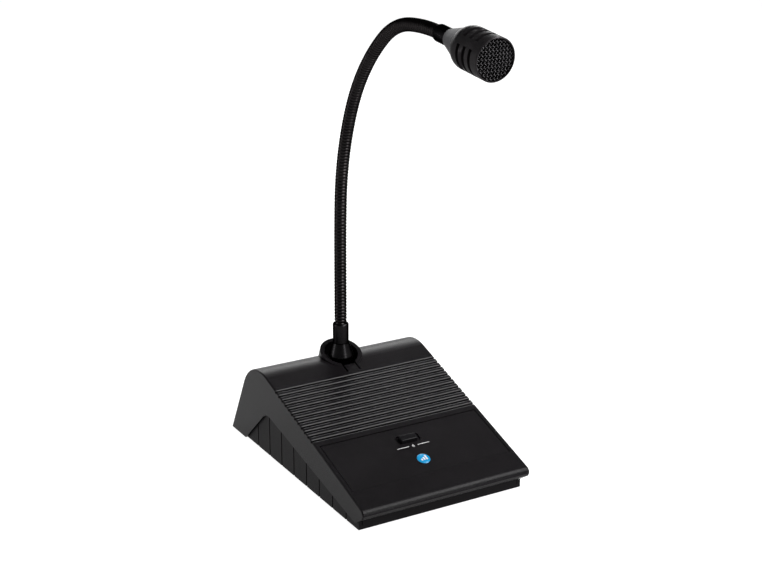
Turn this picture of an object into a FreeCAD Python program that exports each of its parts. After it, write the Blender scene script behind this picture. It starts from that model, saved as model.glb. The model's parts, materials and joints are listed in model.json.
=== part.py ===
import FreeCAD, Part
import math
import os
import Sketcher
from FreeCAD import Placement, Rotation, Vector

# Desk microphone: a wedge-shaped base with a talk button, a gooseneck and a slotted microphone head.
# Frame: millimetres, +Z up, the front (the thin end of the wedge, and the head) towards -Y, and
# the origin at
# the centre of the base's footprint on the surface that it stands on.

CELLS = {
    # base, outside
    "base_width": 126.2,
    "base_depth": 192.8,
    "ridge_height": 60.3,
    "ridge_radius": 30.0,
    "slope_angle": 17.4,
    "rear_lean": 27.1,
    "nose_radius": 4.0,
    "nose_under": 11.8,
    "nose_lip": 8.0,
    "floor_gap": 0.8,
    "side_wall": 2.8,
    "skin": 3.2,
    "panel_inset": 1.6,
    "panel_wall": 2.4,
    "seam": 0.15,
    # cheek edge: the line along which the cover's cheeks end above the grooved side panels
    "crease_front_y": -86.0,
    "crease_front_z": 5.3,
    "crease_rise": 0.217,
    "wing_foot_y": 73.1,
    "wing_angle": 43.0,
    "wing_radius": 14.0,
    # ribs on the slope
    "rib_count": 12,
    "rib_pitch": 4.87,
    "rib_start_y": 23.0,
    "rib_half": 0.75,
    "rib_lip": 0.8,
    "rib_depth": 1.5,
    # grooves in the side panels
    "side_groove_count": 8,
    "side_groove_pitch": 18.13,
    "side_groove_first_y": 55.2,
    "side_groove_width": 1.2,
    "side_groove_depth": 1.1,
    # fascia and talk button
    "fascia_width": 119.0,
    "fascia_length": 45.3,
    "fascia_y": -55.8,
    "fascia_thick": 1.6,
    "fascia_sink": 0.2,
    "fascia_gap": 0.5,
    "button_y": -45.2,
    "button_width": 12.6,
    "button_depth": 5.2,
    "button_proud": 1.7,
    "button_travel": 1.5,
    "well_width": 17.6,
    "well_depth": 8.0,
    "well_sink": 1.1,
    "badge_y": -65.2,
    "badge_radius": 4.5,
    # collar and neck fitting
    "collar_y": 46.8,
    "collar_lift": 1.1,
    "collar_tilt": 4.2,
    "collar_outer": 15.1,
    "collar_inner": 12.1,
    "collar_well": 11.0,
    "collar_floor": 3.5,
    "neck_y": 46.8,
    "seat_z": 48.0,
    "boss_bottom_z": 40.0,
    "stem_radius": 5.0,
    "stem_bottom_z": 30.0,
    "flange_radius": 6.5,
    "cone_bottom_z": 58.8,
    "cone_lip_z": 61.3,
    "cone_radius": 8.9,
    "cone_top_z": 70.3,
    "sleeve_radius": 5.6,
    "sleeve_top_z": 84.8,
    # gooseneck
    "neck_radius": 4.0,
    "neck_root_length": 20.0,
    "link_length": 34.5,
    "ball_radius": 2.8,
    "ball_clear": 0.06,
    "link_gap": 0.9,
    # head, measured back along its axis from the face
    "head_radius": 13.3,
    "head_bore": 11.7,
    "head_tail": 30.6,
    "tail_radius": 11.2,
    "shoulder_start": 24.5,
    "shoulder_radius": 9.9,
    "ferrule_radius": 5.5,
    "ferrule_front": 47.2,
    "ferrule_rear": 59.5,
    "slot_width": 2.7,
    "slot_pitch": 6.2,
    "first_slot": 7.8,
    "slot_arc": 96.0,
    "bridge_angle": 145.0,
    "capsule_radius": 9.2,
    # common fastener
    "screw_radius": 1.45,
    "screw_clear": 0.05,
}

# How far the neck leans from the vertical, in degrees, at the sleeve, at each of its joints and at
# the ferrule.
NECK_LEAN = (0.0, 0.2, 0.4, 3.0, 13.5, 23.5, 38.5, 52.0, 83.5, 96.0)

doc = FreeCAD.newDocument("desk_microphone")
sheet = doc.addObject("Spreadsheet::Sheet", "Dims")
for row, (cell_name, number) in enumerate(CELLS.items(), start=1):
    sheet.set(f"A{row}", cell_name)
    sheet.set(f"B{row}", str(number))
    sheet.setAlias(f"B{row}", cell_name)
doc.recompute()


class Size:
    """A length worked out from the sheet's cells: its number, and the expression that binds it."""

    def __init__(self, value, text):
        self.value = value
        self.text = text

    def joined(self, other, sign, value):
        return Size(value, f"({self.text} {sign} {as_size(other).text})")

    def __add__(self, other):
        return self.joined(other, "+", self.value + as_size(other).value)

    def __sub__(self, other):
        return self.joined(other, "-", self.value - as_size(other).value)

    def __mul__(self, other):
        return self.joined(other, "*", self.value * as_size(other).value)

    def __truediv__(self, other):
        return self.joined(other, "/", self.value / as_size(other).value)

    def __radd__(self, other):
        return as_size(other) + self

    def __rsub__(self, other):
        return as_size(other) - self

    def __rmul__(self, other):
        return as_size(other) * self

    def __neg__(self):
        return as_size(0.0) - self

    def __float__(self):
        return float(self.value)


def as_size(amount):
    return amount if isinstance(amount, Size) else Size(float(amount), f"{float(amount):.6f}")


def dim(name):
    return Size(float(sheet.get(name)), f"Dims.{name}")


# ---------------------------------------------------------------- helpers for the document's objects

nodes = []


def bind(thing, prop, amount):
    """Sets a property and, where it comes from the sheet, binds it."""
    size = as_size(amount)
    setattr(thing, prop, size.value)
    if "Dims." in size.text:
        thing.setExpression(prop, size.text)


def new_body(label, place=None):
    body = doc.addObject("PartDesign::Body", label)
    body.Label = label
    body.Placement = place or Placement()
    nodes.append(body)
    return body


def new_sketch(body, name, plane="XY_Plane", offset=None):
    sketch = body.newObject("Sketcher::SketchObject", f"{body.Name}_{name}")
    support = next(item for item in body.Origin.OriginFeatures if item.Role == plane)
    sketch.AttachmentSupport = (support, "")
    sketch.MapMode = "FlatFace"
    sketch.AttachmentOffset = offset or Placement()
    return sketch


def fix_point(sketch, edge, end, x, y):
    """Holds one end of an edge, or a circle's centre, at x, y."""
    for kind, axis, amount in (("DistanceX", -2, x), ("DistanceY", -1, y)):
        size = as_size(amount)
        if abs(size.value) < 1e-9:
            sketch.addConstraint(Sketcher.Constraint("PointOnObject", edge, end, axis))
            continue
        index = sketch.addConstraint(Sketcher.Constraint(kind, edge, end, size.value))
        if "Dims." in size.text:
            sketch.setExpression(f"Constraints[{index}]", size.text)


def fix_radius(sketch, edge, amount):
    size = as_size(amount)
    index = sketch.addConstraint(Sketcher.Constraint("Radius", edge, size.value))
    if "Dims." in size.text:
        sketch.setExpression(f"Constraints[{index}]", size.text)


class Bend:
    """A step of an outline that arrives at (x, y) on an arc: ccw turns it to the left of the way
    it goes."""

    def __init__(self, x, y, radius, ccw=True):
        self.end = (x, y)
        self.radius = radius
        self.ccw = ccw


def arc_edge(start, end, radius, ccw):
    """The arc, under half a turn, from start to end."""
    chord = end - start
    half = chord.Length / 2
    rise = math.sqrt(max(radius * radius - half * half, 0.0))
    left = Vector(-chord.y, chord.x, 0).normalize()
    centre = (start + end) * 0.5 + left * (rise if ccw else -rise)
    first, last = (start, end) if ccw else (end, start)
    turn = math.atan2(first.y - centre.y, first.x - centre.x)
    stop = math.atan2(last.y - centre.y, last.x - centre.x)
    if stop < turn:
        stop += 2 * math.pi
    return Part.ArcOfCircle(Part.Circle(centre, Vector(0, 0, 1), radius), turn, stop)


def outline(sketch, steps):
    """Draws a closed outline. A step is a corner (x, y) or a Bend; every corner is held by its sizes."""
    corners = [step.end if isinstance(step, Bend) else step for step in steps]
    spots = [Vector(float(x), float(y), 0) for x, y in corners]
    edges = []
    for index, step in enumerate(steps):
        start = spots[index - 1]
        end = spots[index]
        if isinstance(step, Bend):
            edge = sketch.addGeometry(arc_edge(start, end, float(step.radius), step.ccw), False)
            edges.append((edge, 2 if step.ccw else 1, 1 if step.ccw else 2))
            fix_radius(sketch, edge, step.radius)
        else:
            edges.append((sketch.addGeometry(Part.LineSegment(start, end), False), 2, 1))
    for index, (edge, end_point, _) in enumerate(edges):
        follower, _, start_point = edges[(index + 1) % len(edges)]
        sketch.addConstraint(Sketcher.Constraint("Coincident", edge, end_point, follower, start_point))
        fix_point(sketch, edge, end_point, *corners[index])


def circle(sketch, x, y, radius):
    edge = sketch.addGeometry(Part.Circle(Vector(float(x), float(y), 0), Vector(0, 0, 1),
                                          float(radius)), False)
    fix_radius(sketch, edge, radius)
    fix_point(sketch, edge, 3, x, y)


def rectangle(sketch, x, y, width, height, corner=0.0):
    """A rectangle about x, y, with rounded corners where a corner radius is given."""
    left, right = x - width / 2, x + width / 2
    low, high = y - height / 2, y + height / 2
    if float(corner) == 0.0:
        outline(sketch, [(left, low), (right, low), (right, high), (left, high)])
        return
    outline(
        sketch,
        [
            (right - corner, low),
            Bend(right, low + corner, corner),
            (right, high - corner),
            Bend(right - corner, high, corner),
            (left + corner, high),
            Bend(left, high - corner, corner),
            (left, low + corner),
            Bend(left + corner, low, corner),
        ],
    )


def check_built(thing):
    if {"Invalid", "Error"} & set(thing.State):
        raise RuntimeError(f"{thing.Label} failed: {thing.State}")


def extrude(body, kind, sketch, length, symmetric=False, backward=False):
    """A Pad or a Pocket of the sketch. A cut has to take something away, and a pad to add something."""
    doc.recompute()
    before = body.Shape.Volume if body.Tip else 0.0
    feature = body.newObject(f"PartDesign::{kind}", f"{sketch.Name}_{kind.lower()}")
    feature.Profile = sketch
    feature.SideType = "Symmetric" if symmetric else "One side"
    feature.Reversed = backward
    bind(feature, "Length", length)
    body.Tip = feature
    doc.recompute()
    check_built(feature)
    grown = body.Shape.Volume - before
    if (grown <= 0) != (kind == "Pocket"):
        raise RuntimeError(f"{feature.Name} changes the volume by {grown:.2f}")
    return feature


def pad(body, sketch, length, **options):
    return extrude(body, "Pad", sketch, length, **options)


def pocket(body, sketch, length, **options):
    return extrude(body, "Pocket", sketch, length, **options)


def round_edges(body, names, radius):
    base = body.Tip
    fillet = body.newObject("PartDesign::Fillet", f"{body.Name}_round")
    fillet.Base = (base, names)
    bind(fillet, "Radius", radius)
    body.Tip = fillet
    doc.recompute()
    check_built(fillet)


def slab(label, width, depth, thick, place=None, corner=0.0):
    """A plate about its own origin, its underside at zero."""
    body = new_body(label, place)
    sketch = new_sketch(body, "outline")
    rectangle(sketch, as_size(0.0), as_size(0.0), as_size(width), as_size(depth), corner)
    pad(body, sketch, thick)
    return body


def turned(label, steps, place=None):
    """A piece turned about its own Z axis from an outline of (radius, height) steps."""
    body = new_body(label, place)
    sketch = new_sketch(body, "profile", "XZ_Plane")
    outline(sketch, steps)
    turn = body.newObject("PartDesign::Revolution", f"{body.Name}_turn")
    turn.Profile = sketch
    turn.ReferenceAxis = (sketch, ["V_Axis"])
    turn.Angle = 360
    body.Tip = turn
    doc.recompute()
    return body


def drill(body, name, spots, radius, depth, offset=None, backward=False):
    """Round holes of one radius and depth at each of the spots."""
    sketch = new_sketch(body, name, offset=offset)
    for x, y in spots:
        circle(sketch, x, y, radius)
    return pocket(body, sketch, depth, backward=backward)


def feature_from(label, shape, place=None):
    """A sub-part whose shape is worked out in code."""
    thing = doc.addObject("Part::Feature", label)
    thing.Label = label
    thing.Shape = shape
    thing.Placement = place or Placement()
    nodes.append(thing)
    return thing


def group(label, pieces):
    """Separate equal solids under one name."""
    return feature_from(label, Part.Compound(pieces))


def lift(z):
    return Placement(Vector(0, 0, float(z)), Rotation())


# ---------------------------------------------------------------- the wedge's shape, seen from its side

SLOPE = math.radians(float(dim("slope_angle")))
LEAN = math.radians(float(dim("rear_lean")))
WING = math.radians(float(dim("wing_angle")))

half_width = dim("base_width") / 2
rear_y = dim("base_depth") / 2
front_y = -rear_y
floor_z = dim("floor_gap")

# The ridge is an arc that touches both the leaning rear wall and the slope.
ridge_z = dim("ridge_height") - dim("ridge_radius")
ridge_y = rear_y - (dim("ridge_radius") + ridge_z * math.sin(LEAN)) / math.cos(LEAN)


def ridge_point(radius, angle):
    """The point of an arc about the ridge's centre, the angle measured from +Z towards the front."""
    return ridge_y - radius * math.sin(angle), ridge_z + radius * math.cos(angle)


def slope_z(y):
    """Height of the slope's surface, carried on over the whole depth."""
    top_y, top_z = ridge_point(dim("ridge_radius"), SLOPE)
    return top_z + (y - top_y) * math.tan(SLOPE)


def on_slope(y, above=0.0):
    """A place on the slope: its own X across the base, Y up the slope and Z out of the surface."""
    origin = Vector(
        0,
        float(y) - float(above) * math.sin(SLOPE),
        float(slope_z(y)) + float(above) * math.cos(SLOPE),
    )
    return Placement(origin, Rotation(Vector(1, 0, 0), float(dim("slope_angle"))))


def cheek_steps(gap=0.0):
    """The cheek's lower edge from front to rear: the crease, the bend and the wing's slanted front edge.
    A gap lowers the crease and moves the wing's edge forward, which gives the side panel's upper edge."""
    rise = math.atan(float(dim("crease_rise")))
    crease_z = dim("crease_front_z") - gap / math.cos(rise)
    foot_y = dim("wing_foot_y") - gap / math.sin(WING)
    slant = math.tan(WING)
    meet_y = (floor_z - crease_z + foot_y * slant + dim("crease_front_y") * dim("crease_rise")) / (
        dim("crease_rise") + slant
    )
    meet_z = crease_z + (meet_y - dim("crease_front_y")) * dim("crease_rise")
    radius = dim("wing_radius") - gap
    back_off = radius * math.tan((WING + rise) / 2)
    start = (meet_y - back_off * math.cos(rise), meet_z - back_off * math.sin(rise))
    end = (meet_y + back_off * math.cos(WING), meet_z - back_off * math.sin(WING))
    return [(dim("crease_front_y"), crease_z), start, Bend(*end, radius, ccw=False), (foot_y, floor_z)]


def crease_z_at(y):
    return float(dim("crease_front_z") + (y - dim("crease_front_y")) * dim("crease_rise"))


# ---------------------------------------------------------------- base: top cover

post_spots = [(x, y) for x in (-52.0, 52.0) for y in (-82.0, 50.0)]
board_spots = [(x, y) for x in (-44.0, 44.0) for y in (-19.0, 15.0)]
board_drop = 12.0
slit_x = 4.9
slit_width = 1.2


def cover_outline(cover):
    """Rear wall, ridge, slope, nose, and the cheeks' lower edge."""
    nose = dim("nose_radius")
    nose_y = front_y + nose
    top_y, top_z = ridge_point(dim("ridge_radius"), SLOPE)
    nose_z = top_z + (nose_y - top_y) * math.tan(SLOPE) - nose / math.cos(SLOPE)
    sketch = new_sketch(cover, "side", "YZ_Plane")
    outline(
        sketch,
        cheek_steps()
        + [
            (rear_y - floor_z * math.tan(LEAN), floor_z),
            ridge_point(dim("ridge_radius"), LEAN - math.pi / 2),
            Bend(top_y, top_z, dim("ridge_radius")),
            (nose_y - nose * math.sin(SLOPE), nose_z + nose * math.cos(SLOPE)),
            Bend(front_y, nose_z, nose),
            (front_y + 1.0, dim("nose_under")),
        ],
    )
    return sketch


def hollow_outline(cover):
    """The space inside: the skin under the slope is thicker than the rear wall, to carry the fascia."""
    inner = dim("ridge_radius") - dim("skin")
    top_y, top_z = ridge_point(inner, SLOPE)
    nose_y = front_y + 3.6
    floor_y = front_y + dim("nose_lip")
    rear = ridge_point(inner, LEAN - math.pi / 2)
    nose_floor = dim("nose_under") + 2.0
    sketch = new_sketch(cover, "hollow", "YZ_Plane")
    outline(
        sketch,
        [
            (floor_y, as_size(-1.0)),
            (rear[0] + (rear[1] + 1.0) * math.tan(LEAN), as_size(-1.0)),
            rear,
            Bend(top_y, top_z, inner),
            (nose_y, top_z + (nose_y - top_y) * math.tan(SLOPE)),
            (nose_y, nose_floor),
            (floor_y, nose_floor),
        ],
    )
    return sketch


def round_cover_edges(cover, radius):
    """Takes the sharpness off the two long side edges that run over rear wall, ridge, slope and nose."""
    names = []
    for index, edge in enumerate(cover.Shape.Edges, start=1):
        middle = edge.valueAt((edge.FirstParameter + edge.LastParameter) / 2)
        beside = abs(abs(middle.x) - float(half_width)) < 1e-6 and abs(edge.BoundBox.XLength) < 1e-6
        lower = middle.z < crease_z_at(middle.y) + 4.5 and middle.y < 80.0
        if beside and not lower and middle.z > 5.0:
            names.append(f"Edge{index}")
    round_edges(cover, names, radius)


def cut_ribs(cover):
    """One round-lipped groove across the slope, repeated down it."""
    across = Rotation(Vector(0, 0, 1), float(dim("slope_angle")))
    start = Vector(float(dim("rib_start_y")), float(slope_z(dim("rib_start_y"))), 0)
    sketch = new_sketch(cover, "rib", "YZ_Plane", Placement(start, across))
    half, lip, depth = dim("rib_half"), dim("rib_lip"), dim("rib_depth")
    outline(
        sketch,
        [
            (-(half + lip), as_size(0.6)),
            (-(half + lip), as_size(0.0)),
            Bend(-half, -lip, lip, ccw=False),
            (-half, -depth),
            (half, -depth),
            (half, -lip),
            Bend(half + lip, as_size(0.0), lip, ccw=False),
            (half + lip, as_size(0.6)),
        ],
    )
    groove = pocket(cover, sketch, dim("base_width") + 10.0, symmetric=True)
    ribs = cover.newObject("PartDesign::LinearPattern", "cover_ribs")
    ribs.Originals = [groove]
    ribs.Direction = (sketch, ["H_Axis"])
    ribs.Reversed = True
    bind(ribs, "Length", dim("rib_pitch") * (dim("rib_count") - 1))
    ribs.Occurrences = int(dim("rib_count").value)
    cover.Tip = ribs
    doc.recompute()


def make_top_cover():
    cover = new_body("top_cover")
    pad(cover, cover_outline(cover), dim("base_width"), symmetric=True)
    round_cover_edges(cover, 0.9)
    pocket(cover, hollow_outline(cover), dim("base_width") - dim("side_wall") * 2, symmetric=True)
    cut_ribs(cover)

    tilt = Rotation(Vector(1, 0, 0), float(dim("collar_tilt")))
    collar_top = on_slope(dim("collar_y"), dim("collar_lift")).multiply(Placement(Vector(), tilt))
    depth = dim("collar_well") + dim("collar_floor")
    ring = new_sketch(cover, "collar", offset=collar_top)
    circle(ring, 0.0, 0.0, dim("collar_outer"))
    pad(cover, ring, depth, backward=True)
    boss = new_sketch(cover, "neck_boss", offset=lift(dim("boss_bottom_z")))
    circle(boss, 0.0, dim("neck_y"), as_size(10.5))
    pad(cover, boss, 9.0)
    drill(cover, "collar_well", [(0.0, 0.0)], dim("collar_inner"), dim("collar_well"), collar_top)
    seat = lift(dim("cone_bottom_z"))
    drill(cover, "stem_seat", [(0.0, dim("neck_y"))], dim("flange_radius") + 0.6,
          dim("cone_bottom_z") - dim("seat_z"), seat)
    drill(cover, "stem_hole", [(0.0, dim("neck_y"))], dim("stem_radius") + 0.1, 30.0, seat)
    slits = new_sketch(cover, "tongue_slits", offset=on_slope(as_size(32.0), 1.5))
    for side in (-1, 1):
        rectangle(slits, as_size(side * slit_x), as_size(0.0), as_size(slit_width), as_size(9.4))
    pocket(cover, slits, 5.2)
    gap = new_sketch(cover, "tongue_gap", offset=on_slope(dim("collar_y"), 2.0))
    gap_low = -(dim("collar_inner") + 1.1)
    gap_high = -(dim("collar_inner") - 2.0)
    gap_half = as_size(slit_x + slit_width / 2)
    outline(gap, [(-gap_half, gap_low), (gap_half, gap_low), (gap_half, gap_high), (-gap_half, gap_high)])
    pocket(cover, gap, 11.0)

    recess = new_sketch(cover, "fascia_recess", offset=on_slope(dim("fascia_y")))
    rectangle(recess, as_size(0.0), dim("fascia_gap") / 4, dim("fascia_width") + dim("fascia_gap") * 2,
              dim("fascia_length") + dim("fascia_gap") * 1.5)
    pocket(cover, recess, dim("fascia_thick") + dim("fascia_sink"))
    window = new_sketch(cover, "button_window", offset=on_slope(dim("button_y")))
    rectangle(window, as_size(0.0), as_size(0.0), as_size(20.0), as_size(12.0), 1.5)
    pocket(cover, window, 6.0)

    add_cover_posts(cover)
    jack = jack_place(0.6)
    drill(cover, "jack_hole", [(0.0, 0.0)], 5.1, 8.0, jack)
    return cover


def add_cover_posts(cover):
    """Screw posts: four upright ones to the bottom shell, and four square to the slope for the board."""
    heights = {-82.0: slope_z(as_size(-82.0)) - 1.6, 50.0: dim("ridge_height") - 1.7}
    for y, top in heights.items():
        base = as_size(10.4)
        sketch = new_sketch(cover, f"posts_{'front' if y < 0 else 'rear'}", offset=lift(base))
        for x in (-52.0, 52.0):
            circle(sketch, x, y, 3.9)
        pad(cover, sketch, top - base)
    drill(cover, "post_holes", post_spots, dim("screw_radius") + dim("screw_clear"), 7.0, lift(10.4),
          backward=True)
    board_place = on_slope(dim("button_y"), -board_drop)
    sketch = new_sketch(cover, "board_posts", offset=board_place)
    for x, y in board_spots:
        circle(sketch, x, y, 3.0)
    pad(cover, sketch, board_drop - 2.7)
    drill(cover, "board_post_holes", board_spots, dim("screw_radius") + dim("screw_clear"), 7.0,
          board_place,
          backward=True)


def jack_place(out=0.0):
    """The rear jack: its own Z axis leaves the leaning rear wall squarely, 28 mm up."""
    height = 28.0
    y = float(rear_y) - height * math.tan(LEAN)
    normal = Vector(0, math.cos(LEAN), math.sin(LEAN))
    return Placement(Vector(0, y, height) + normal * out,
                     Rotation(Vector(1, 0, 0), -90.0 + math.degrees(LEAN)))


# ---------------------------------------------------------------- base: bottom shell

ballast_spots = [(x, y) for x in (-36.0, 36.0) for y in (-50.0, 50.0)]
shell_top = 3.3


def make_bottom_shell():
    shell = new_body("bottom_shell")
    panel_x = half_width - dim("panel_inset")
    side = new_sketch(shell, "panels", "YZ_Plane")
    seam = float(dim("seam"))
    front = front_y + dim("nose_lip") + 0.4
    under_slant = (dim("nose_under") - dim("crease_front_z")) / (dim("crease_front_y") - front_y - 1.0)
    front_top = dim("crease_front_z") + (dim("crease_front_y") - front) * under_slant - seam * 1.3
    outline(side, cheek_steps(seam) + [(front, floor_z), (front, front_top)])
    pad(shell, side, panel_x * 2, symmetric=True)
    inside = new_sketch(shell, "inside", offset=lift(shell_top))
    rectangle(inside, as_size(0.0), as_size(0.0), (panel_x - dim("panel_wall")) * 2, as_size(240.0))
    pocket(shell, inside, 60.0, backward=True)

    floor = new_sketch(shell, "floor", offset=lift(floor_z))
    inner_x = half_width - dim("side_wall") - 0.3
    wall_x = panel_x - dim("panel_wall") - 0.45
    rear = rear_y - 5.6
    outline(floor, [(-inner_x, front), (inner_x, front), (inner_x, rear), (-inner_x, rear)])
    pad(shell, floor, shell_top - floor_z)
    wall = new_sketch(shell, "front_wall", offset=lift(floor_z))
    outline(wall, [(-wall_x, front), (wall_x, front), (wall_x, front + 2.0), (-wall_x, front + 2.0)])
    pad(shell, wall, dim("nose_under") - floor_z)

    for name, spots, radius, top in (
        ("case_bosses", post_spots, 4.2, 10.2),
        ("ballast_posts", ballast_spots, 3.0, 8.3),
    ):
        sketch = new_sketch(shell, name, offset=lift(floor_z))
        for x, y in spots:
            circle(sketch, x, y, radius)
        pad(shell, sketch, top - floor_z)
    cut_side_grooves(shell, panel_x)

    pad_recess = new_sketch(shell, "pad_recess", offset=lift(floor_z))
    rectangle(pad_recess, as_size(0.0), as_size(0.0), as_size(88.6), as_size(136.6), 6.0)
    pocket(shell, pad_recess, 0.8, backward=True)
    drill(shell, "screw_heads", post_spots, 3.2, 5.0, lift(floor_z), backward=True)
    drill(shell, "screw_ways", post_spots, 1.7, 20.0, lift(floor_z), backward=True)
    drill(shell, "ballast_holes", ballast_spots, dim("screw_radius") + dim("screw_clear"), 6.0, lift(8.3))
    return shell


def cut_side_grooves(shell, panel_x):
    """Upright grooves in the side panels, open at the bottom; their tops follow the crease."""
    depth = dim("side_groove_depth")
    for index in range(int(dim("side_groove_count").value)):
        y = dim("side_groove_first_y") - dim("side_groove_pitch") * index
        height = min(crease_z_at(y), (float(dim("wing_foot_y")) - float(y)) * math.tan(WING) + 1.5) - 1.2
        sketch = new_sketch(shell, f"side_groove_{index + 1}")
        for side in (-1, 1):
            rectangle(sketch, side * (panel_x - depth / 2 + 0.5), y, depth + 1.0, dim("side_groove_width"))
        pocket(shell, sketch, height, backward=True)


# ---------------------------------------------------------------- base: fascia, button and its switch


def make_fascia():
    """The inset plate, with a round-cornered well for the button and a shallow round seat for the badge."""
    place = on_slope(dim("fascia_y"), -(dim("fascia_sink") + dim("fascia_thick")))
    plate = slab("fascia_plate", dim("fascia_width"), dim("fascia_length"), dim("fascia_thick"), place, 0.6)
    button_v = (dim("button_y") - dim("fascia_y")) / math.cos(SLOPE)
    well = new_sketch(plate, "button_well", offset=lift(dim("fascia_thick")))
    rectangle(well, as_size(0.0), button_v, dim("well_width"), dim("well_depth"), 2.4)
    pocket(plate, well, dim("well_sink"))
    hole = new_sketch(plate, "button_hole", offset=lift(dim("fascia_thick")))
    rectangle(hole, as_size(0.0), button_v, dim("button_width") + 0.5, dim("button_depth") + 0.5, 0.9)
    pocket(plate, hole, 5.0)
    badge_v = (dim("badge_y") - dim("fascia_y")) / math.cos(SLOPE)
    drill(plate, "badge_seat", [(0.0, badge_v)], dim("badge_radius") + 0.05, 0.5, lift(dim("fascia_thick")))
    return plate


def make_badge():
    disc = new_body("badge_disc", on_slope(dim("badge_y"), -(dim("fascia_sink") + 0.5)))
    sketch = new_sketch(disc, "outline")
    circle(sketch, 0.0, 0.0, dim("badge_radius"))
    pad(disc, sketch, 0.7)


def make_legend():
    """A raised print under the button: a plain microphone sign between two strokes."""
    legend = new_body("button_legend", on_slope(as_size(-52.6), -dim("fascia_sink")))
    strokes = new_sketch(legend, "strokes")
    for side in (-1, 1):
        rectangle(strokes, as_size(side * 8.0), as_size(0.0), as_size(9.0), as_size(0.45))
    rectangle(strokes, as_size(0.0), as_size(0.45), as_size(1.1), as_size(1.9), 0.5)
    pad(legend, strokes, 0.06)


def make_button():
    """The key, its flange under the fascia and its stem, measured from the slope's surface."""
    key = new_body("talk_button", on_slope(dim("button_y")))
    flange_top = -(dim("fascia_sink") + dim("fascia_thick") + 0.05)
    flange = new_sketch(key, "flange", offset=lift(flange_top))
    rectangle(flange, as_size(0.0), as_size(0.0), as_size(16.0), as_size(9.0), 1.0)
    pad(key, flange, 1.0, backward=True)
    top = new_sketch(key, "key", offset=lift(flange_top))
    rectangle(top, as_size(0.0), as_size(0.0), dim("button_width"), dim("button_depth"), 0.7)
    pad(key, top, dim("button_proud") - flange_top)
    rim = [
        f"Edge{index}"
        for index, edge in enumerate(key.Tip.Shape.Edges, start=1)
        if edge.BoundBox.ZLength < 1e-6 and abs(edge.BoundBox.ZMax - float(dim("button_proud"))) < 1e-6
    ]
    round_edges(key, rim, 0.5)
    stem = new_sketch(key, "stem", offset=lift(flange_top - 1.0))
    circle(stem, 0.0, 0.0, 2.0)
    pad(key, stem, 3.15, backward=True)
    return key


def make_switch():
    """Switch and plunger under the button, on the board, and the spring that returns the button."""
    top = -8.0
    body = slab("switch_body", 12.0, 12.0, board_drop + top, on_slope(dim("button_y"), -board_drop), 0.8)
    hole = new_sketch(body, "plunger_hole", offset=lift(board_drop + top))
    circle(hole, 0.0, 0.0, 1.8)
    pocket(body, hole, dim("button_travel") + 1.9)
    plunger = new_body("switch_plunger", on_slope(dim("button_y"), -6.0))
    sketch = new_sketch(plunger, "outline")
    circle(sketch, 0.0, 0.0, 1.75)
    pad(plunger, sketch, 3.5, backward=True)

    wire = 0.25
    coil_radius = 3.0
    low, high = top + wire + 0.02, -2.85 - wire - 0.02
    coil = Part.makeHelix((high - low) / 5, high - low, coil_radius)
    corners = [(-wire, -wire), (wire, -wire), (wire, wire), (-wire, wire), (-wire, -wire)]
    section = Part.makePolygon([Vector(coil_radius + x, 0, z) for x, z in corners])
    spring = Part.Wire(coil.Edges).makePipeShell([section], True, True)
    feature_from("button_spring", spring, on_slope(dim("button_y"), low))


def make_board():
    """The circuit board hangs under the cover, parallel to the slope, with its parts on its underside."""
    thick = 1.6
    place = on_slope(dim("button_y"), -(board_drop + thick))
    board = new_body("circuit_board", place)
    sketch = new_sketch(board, "outline")
    rectangle(sketch, as_size(0.0), as_size(-2.0), as_size(98.0), as_size(42.0), 1.5)
    pad(board, sketch, thick)
    drill(board, "screw_holes", board_spots, dim("screw_radius") + dim("screw_clear"), 3.0, lift(thick))
    cans = [Part.makeCylinder(3.15, 7.0, Vector(x, 8.0, -7.0)) for x in (-30.0, -20.0, -10.0)]
    group("filter_capacitors", cans).Placement = place
    core = slab("audio_transformer", 15.0, 12.0, 8.0)
    core.Placement = place.multiply(Placement(Vector(6, 8, -8), Rotation()))
    chip = slab("amplifier_chip", 10.0, 6.4, 2.6)
    chip.Placement = place.multiply(Placement(Vector(-20, -6, -2.6), Rotation()))
    headers = [Part.makeBox(9.0, 5.0, 5.0, Vector(x, 9.5, -5.0)) for x in (18.5, 29.5)]
    group("lead_headers", headers).Placement = place
    screws = [screw(x, y, thick_z=0.0, length=7.0, head=2.6) for x, y in board_spots]
    group("board_screws", screws).Placement = place


def screw(x, y, thick_z, length, head):
    """A pan-head screw standing head down under thick_z: a head, and a shank that points up."""
    shank = Part.makeCylinder(float(dim("screw_radius")), length, Vector(x, y, thick_z))
    cap = Part.makeCylinder(head, 1.8, Vector(x, y, thick_z - 1.8))
    slot = Part.makeBox(head * 1.4, 0.6, 0.8, Vector(x - head * 0.7, y - 0.3, thick_z - 1.8))
    return cap.cut(slot).fuse(shank).removeSplitter()


# ---------------------------------------------------------------- base: weight, feet, screws, jack, leads


def make_base_hardware():
    plate = slab("ballast_plate", 90.0, 120.0, 5.0, lift(shell_top), 3.0)
    drill(plate, "post_holes", ballast_spots, 3.1, 8.0, lift(5.0))
    heads = []
    for x, y in ballast_spots:
        turned_over = screw(0.0, 0.0, 0.0, 5.5, 4.4)
        turned_over.rotate(Vector(0, 0, 0), Vector(1, 0, 0), 180)
        turned_over.translate(Vector(x, y, 8.3))
        heads.append(turned_over)
    group("ballast_screws", heads)
    group("case_screws", [screw(x, y, float(floor_z) + 5.0, 11.0, 2.8) for x, y in post_spots])
    slab("anti_slip_pad", 88.0, 136.0, 1.6, None, 5.7)


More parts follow.
